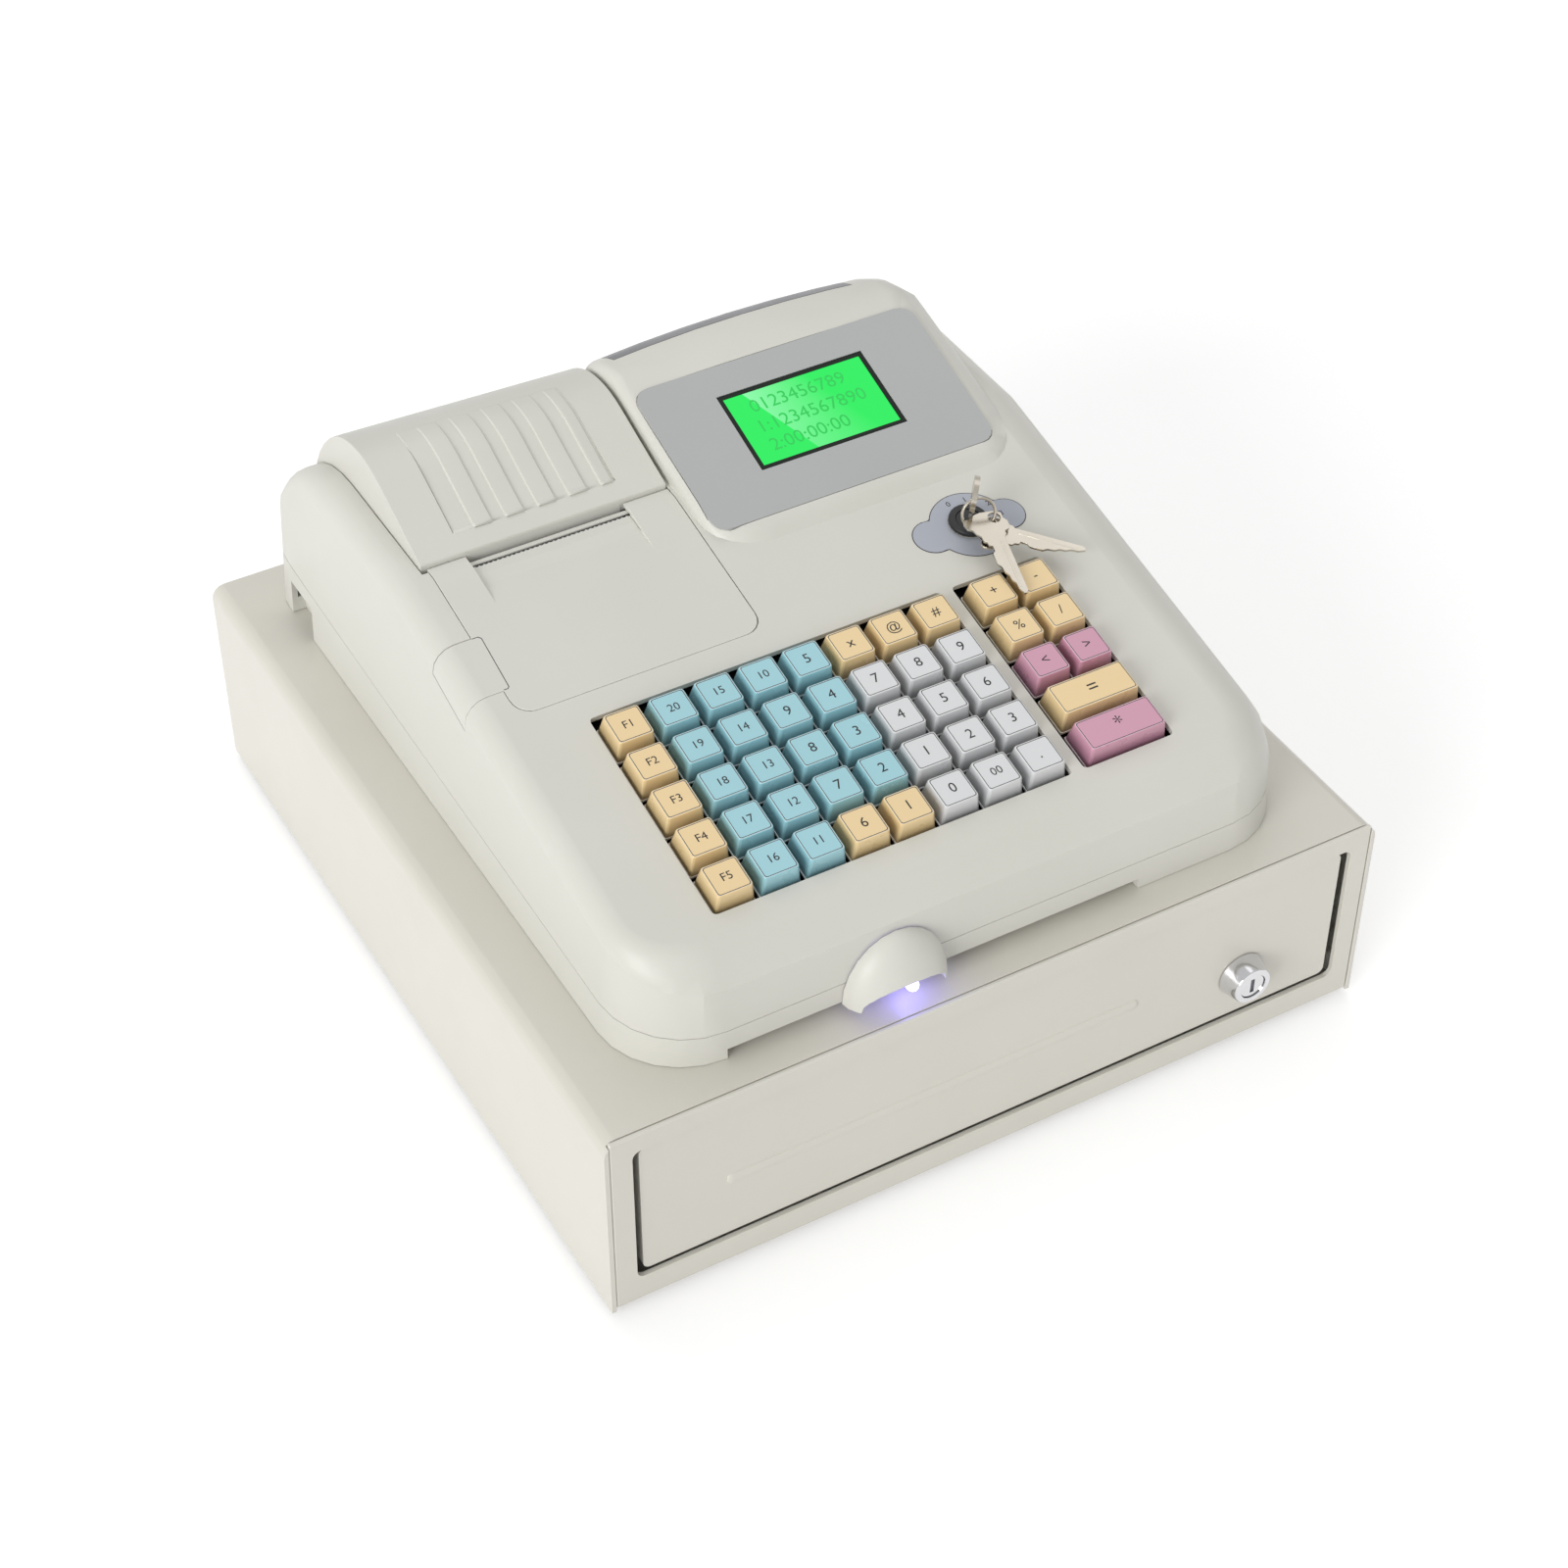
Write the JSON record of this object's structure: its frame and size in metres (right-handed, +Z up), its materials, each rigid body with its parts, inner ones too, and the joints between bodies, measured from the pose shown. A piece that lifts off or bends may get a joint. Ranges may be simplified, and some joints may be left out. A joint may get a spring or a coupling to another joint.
{
  "type": "ticket register",
  "caption": "Electronic cash register with a flat keyboard, receipt printer, sloped screen and mode key, standing on a locking steel cash drawer.",
  "frame": {"origin": "centre of the cabinet's footprint, on the surface that the feet stand on", "axes": "+Z up, -Y towards the operator (the drawer opens along -Y), +X to the operator's right"},
  "size_m": [0.34, 0.3708, 0.2063],
  "materials": {
    "painted_steel": "semi-gloss light grey paint",
    "bare_steel": "plain rolled steel",
    "black_rubber": "matt",
    "chromed_brass": "polished",
    "key_metal": "nickel-plated, worn",
    "black_plastic": "matt",
    "body_plastic": "fine-grained",
    "grey_film": "satin",
    "screen": "lit green screen",
    "smoke_window": "polished",
    "lamp_lens": "clear",
    "board_green": "lacquered",
    "paper_white": "matt paper",
    "key_grey": "clear cover over an insert",
    "key_cream": "clear cover over an insert",
    "key_blue": "clear cover over an insert",
    "key_pink": "clear cover over an insert"
  },
  "bodies": {
    "base": {"cabinet_cover": "painted_steel", "cabinet_chassis": "painted_steel", "foot_front_left": "black_rubber", "foot_front_right": "black_rubber", "foot_rear_left": "black_rubber", "foot_rear_right": "black_rubber", "drawer_rail_left": "bare_steel", "drawer_rail_right": "bare_steel", "lower_housing": "body_plastic", "upper_housing": "body_plastic", "printer_frame": "black_plastic", "display_panel": "grey_film", "lcd_module": "screen", "customer_window": "smoke_window", "key_plate": "black_plastic", "mode_switch": "black_plastic", "lamp_hood": "body_plastic", "note_lamp": "lamp_lens", "main_board": "board_green", "power_socket": "black_plastic"},
    "drawer": {"drawer_pan": "bare_steel", "drawer_front": "painted_steel", "lock_body": "chromed_brass"},
    "drawer_lock": {"lock_plug": "key_metal"},
    "tray": {"money_tray": "black_plastic"},
    "lid": {"paper_lid": "body_plastic"},
    "cover": {"printer_cover": "body_plastic", "tear_blade": "bare_steel"},
    "roll": {"paper_roll": "paper_white"},
    "platen": {"platen_roller": "black_rubber"},
    "mode_keys": {"mode_key": "key_metal", "key_ring": "key_metal", "spare_key_1": "key_metal", "spare_key_2": "key_metal"},
    "clip_1": {"note_clip_1": "black_plastic"},
    "clip_2": {"note_clip_2": "black_plastic"},
    "clip_3": {"note_clip_3": "black_plastic"},
    "clip_4": {"note_clip_4": "black_plastic"},
    "key_0_body": {"key_0": "key_grey"},
    "key_00_body": {"key_00": "key_grey"},
    "key_point_body": {"key_point": "key_grey"},
    "key_1_body": {"key_1": "key_grey"},
    "key_2_body": {"key_2": "key_grey"},
    "key_3_body": {"key_3": "key_grey"},
    "key_4_body": {"key_4": "key_grey"},
    "key_5_body": {"key_5": "key_grey"},
    "key_6_body": {"key_6": "key_grey"},
    "key_7_body": {"key_7": "key_grey"},
    "key_8_body": {"key_8": "key_grey"},
    "key_9_body": {"key_9": "key_grey"},
    "key_total_body": {"key_total": "key_cream"},
    "key_cash_body": {"key_cash": "key_pink"},
    "keys_above_numbers_body": {"keys_above_numbers": "key_cream"},
    "keys_left_column_body": {"keys_left_column": "key_cream"},
    "keys_department_1_body": {"keys_department_1": "key_blue"},
    "keys_department_2_body": {"keys_department_2": "key_blue"},
    "keys_department_3_body": {"keys_department_3": "key_blue"},
    "keys_department_4_body": {"keys_department_4": "key_blue"},
    "keys_function_left_body": {"keys_function_left": "key_cream"},
    "keys_function_right_body": {"keys_function_right": "key_cream"}
  },
  "joints": [
    {"name": "drawer_slide", "type": "slide", "parent": "base", "child": "drawer", "axis": [0, -1, 0], "range_m": [0, 0.24]},
    {"name": "drawer_lock_turn", "type": "hinge", "parent": "drawer", "child": "drawer_lock", "pos_m": [0.112, -0.17, 0.0395], "axis": [0, 1, 0], "range_deg": [0, 90]},
    {"name": "tray_lift", "type": "slide", "parent": "drawer", "child": "tray", "axis": [0, 0, 1], "range_m": [0, 0.022]},
    {"name": "lid_hinge", "type": "hinge", "parent": "base", "child": "lid", "pos_m": [-0.0752, 0.1494, 0.1545], "axis": [-1, 0, 0], "range_deg": [0, 100]},
    {"name": "cover_hinge", "type": "hinge", "parent": "base", "child": "cover", "pos_m": [-0.0218, 0.0375, 0.18215], "axis": [0, 0.9785, 0.2062], "range_deg": [0, 75]},
    {"name": "roll_turn", "type": "hinge", "parent": "base", "child": "roll", "pos_m": [-0.07575, 0.103, 0.1505], "axis": [1, 0, 0], "continuous": true},
    {"name": "platen_turn", "type": "hinge", "parent": "base", "child": "platen", "pos_m": [-0.07575, 0.056, 0.1665], "axis": [1, 0, 0], "continuous": true},
    {"name": "mode_turn", "type": "hinge", "parent": "base", "child": "mode_keys", "pos_m": [0.0789, -0.0211, 0.1698], "axis": [0, -0.2062, 0.9785], "range_deg": [-90, 38]},
    {"name": "clip_1_hinge", "type": "hinge", "parent": "tray", "child": "clip_1", "pos_m": [-0.1095, 0.1468, 0.0545], "axis": [-1, 0, 0], "range_deg": [0, 20], "stiffness_Nm_per_rad": 0.03, "springref_deg": -17.19},
    {"name": "clip_2_hinge", "type": "hinge", "parent": "tray", "child": "clip_2", "pos_m": [-0.0365, 0.1468, 0.0545], "axis": [-1, 0, 0], "range_deg": [0, 20], "stiffness_Nm_per_rad": 0.03, "springref_deg": -17.19},
    {"name": "clip_3_hinge", "type": "hinge", "parent": "tray", "child": "clip_3", "pos_m": [0.0365, 0.1468, 0.0545], "axis": [-1, 0, 0], "range_deg": [0, 20], "stiffness_Nm_per_rad": 0.03, "springref_deg": -17.19},
    {"name": "clip_4_hinge", "type": "hinge", "parent": "tray", "child": "clip_4", "pos_m": [0.1095, 0.1468, 0.0545], "axis": [-1, 0, 0], "range_deg": [0, 20], "stiffness_Nm_per_rad": 0.03, "springref_deg": -17.19},
    {"name": "key_0_press", "type": "slide", "parent": "base", "child": "key_0_body", "axis": [0, 0.2062, -0.9785], "range_m": [0, 0.003], "stiffness_N_per_m": 150, "springref_m": -0.003},
    {"name": "key_00_press", "type": "slide", "parent": "base", "child": "key_00_body", "axis": [0, 0.2062, -0.9785], "range_m": [0, 0.003], "stiffness_N_per_m": 150, "springref_m": -0.003},
    {"name": "key_point_press", "type": "slide", "parent": "base", "child": "key_point_body", "axis": [0, 0.2062, -0.9785], "range_m": [0, 0.003], "stiffness_N_per_m": 150, "springref_m": -0.003},
    {"name": "key_1_press", "type": "slide", "parent": "base", "child": "key_1_body", "axis": [0, 0.2062, -0.9785], "range_m": [0, 0.003], "stiffness_N_per_m": 150, "springref_m": -0.003},
    {"name": "key_2_press", "type": "slide", "parent": "base", "child": "key_2_body", "axis": [0, 0.2062, -0.9785], "range_m": [0, 0.003], "stiffness_N_per_m": 150, "springref_m": -0.003},
    {"name": "key_3_press", "type": "slide", "parent": "base", "child": "key_3_body", "axis": [0, 0.2062, -0.9785], "range_m": [0, 0.003], "stiffness_N_per_m": 150, "springref_m": -0.003},
    {"name": "key_4_press", "type": "slide", "parent": "base", "child": "key_4_body", "axis": [0, 0.2062, -0.9785], "range_m": [0, 0.003], "stiffness_N_per_m": 150, "springref_m": -0.003},
    {"name": "key_5_press", "type": "slide", "parent": "base", "child": "key_5_body", "axis": [0, 0.2062, -0.9785], "range_m": [0, 0.003], "stiffness_N_per_m": 150, "springref_m": -0.003},
    {"name": "key_6_press", "type": "slide", "parent": "base", "child": "key_6_body", "axis": [0, 0.2062, -0.9785], "range_m": [0, 0.003], "stiffness_N_per_m": 150, "springref_m": -0.003},
    {"name": "key_7_press", "type": "slide", "parent": "base", "child": "key_7_body", "axis": [0, 0.2062, -0.9785], "range_m": [0, 0.003], "stiffness_N_per_m": 150, "springref_m": -0.003},
    {"name": "key_8_press", "type": "slide", "parent": "base", "child": "key_8_body", "axis": [0, 0.2062, -0.9785], "range_m": [0, 0.003], "stiffness_N_per_m": 150, "springref_m": -0.003},
    {"name": "key_9_press", "type": "slide", "parent": "base", "child": "key_9_body", "axis": [0, 0.2062, -0.9785], "range_m": [0, 0.003], "stiffness_N_per_m": 150, "springref_m": -0.003},
    {"name": "key_total_press", "type": "slide", "parent": "base", "child": "key_total_body", "axis": [0, 0.2062, -0.9785], "range_m": [0, 0.003], "stiffness_N_per_m": 150, "springref_m": -0.003},
    {"name": "key_cash_press", "type": "slide", "parent": "base", "child": "key_cash_body", "axis": [0, 0.2062, -0.9785], "range_m": [0, 0.003], "stiffness_N_per_m": 150, "springref_m": -0.003},
    {"name": "keys_above_numbers_press", "type": "slide", "parent": "base", "child": "keys_above_numbers_body", "axis": [0, 0.2062, -0.9785], "range_m": [0, 0.003], "stiffness_N_per_m": 450, "springref_m": -0.003},
    {"name": "keys_left_column_press", "type": "slide", "parent": "base", "child": "keys_left_column_body", "axis": [0, 0.2062, -0.9785], "range_m": [0, 0.003], "stiffness_N_per_m": 750, "springref_m": -0.003},
    {"name": "keys_department_1_press", "type": "slide", "parent": "base", "child": "keys_department_1_body", "axis": [0, 0.2062, -0.9785], "range_m": [0, 0.003], "stiffness_N_per_m": 750, "springref_m": -0.003},
    {"name": "keys_department_2_press", "type": "slide", "parent": "base", "child": "keys_department_2_body", "axis": [0, 0.2062, -0.9785], "range_m": [0, 0.003], "stiffness_N_per_m": 750, "springref_m": -0.003},
    {"name": "keys_department_3_press", "type": "slide", "parent": "base", "child": "keys_department_3_body", "axis": [0, 0.2062, -0.9785], "range_m": [0, 0.003], "stiffness_N_per_m": 750, "springref_m": -0.003},
    {"name": "keys_department_4_press", "type": "slide", "parent": "base", "child": "keys_department_4_body", "axis": [0, 0.2062, -0.9785], "range_m": [0, 0.003], "stiffness_N_per_m": 750, "springref_m": -0.003},
    {"name": "keys_function_left_press", "type": "slide", "parent": "base", "child": "keys_function_left_body", "axis": [0, 0.2062, -0.9785], "range_m": [0, 0.003], "stiffness_N_per_m": 450, "springref_m": -0.003},
    {"name": "keys_function_right_press", "type": "slide", "parent": "base", "child": "keys_function_right_body", "axis": [0, 0.2062, -0.9785], "range_m": [0, 0.003], "stiffness_N_per_m": 450, "springref_m": -0.003}
  ],
  "couplings": [
    {"joint": "platen_turn", "follows": "roll_turn", "ratio": 5.6667}
  ]
}
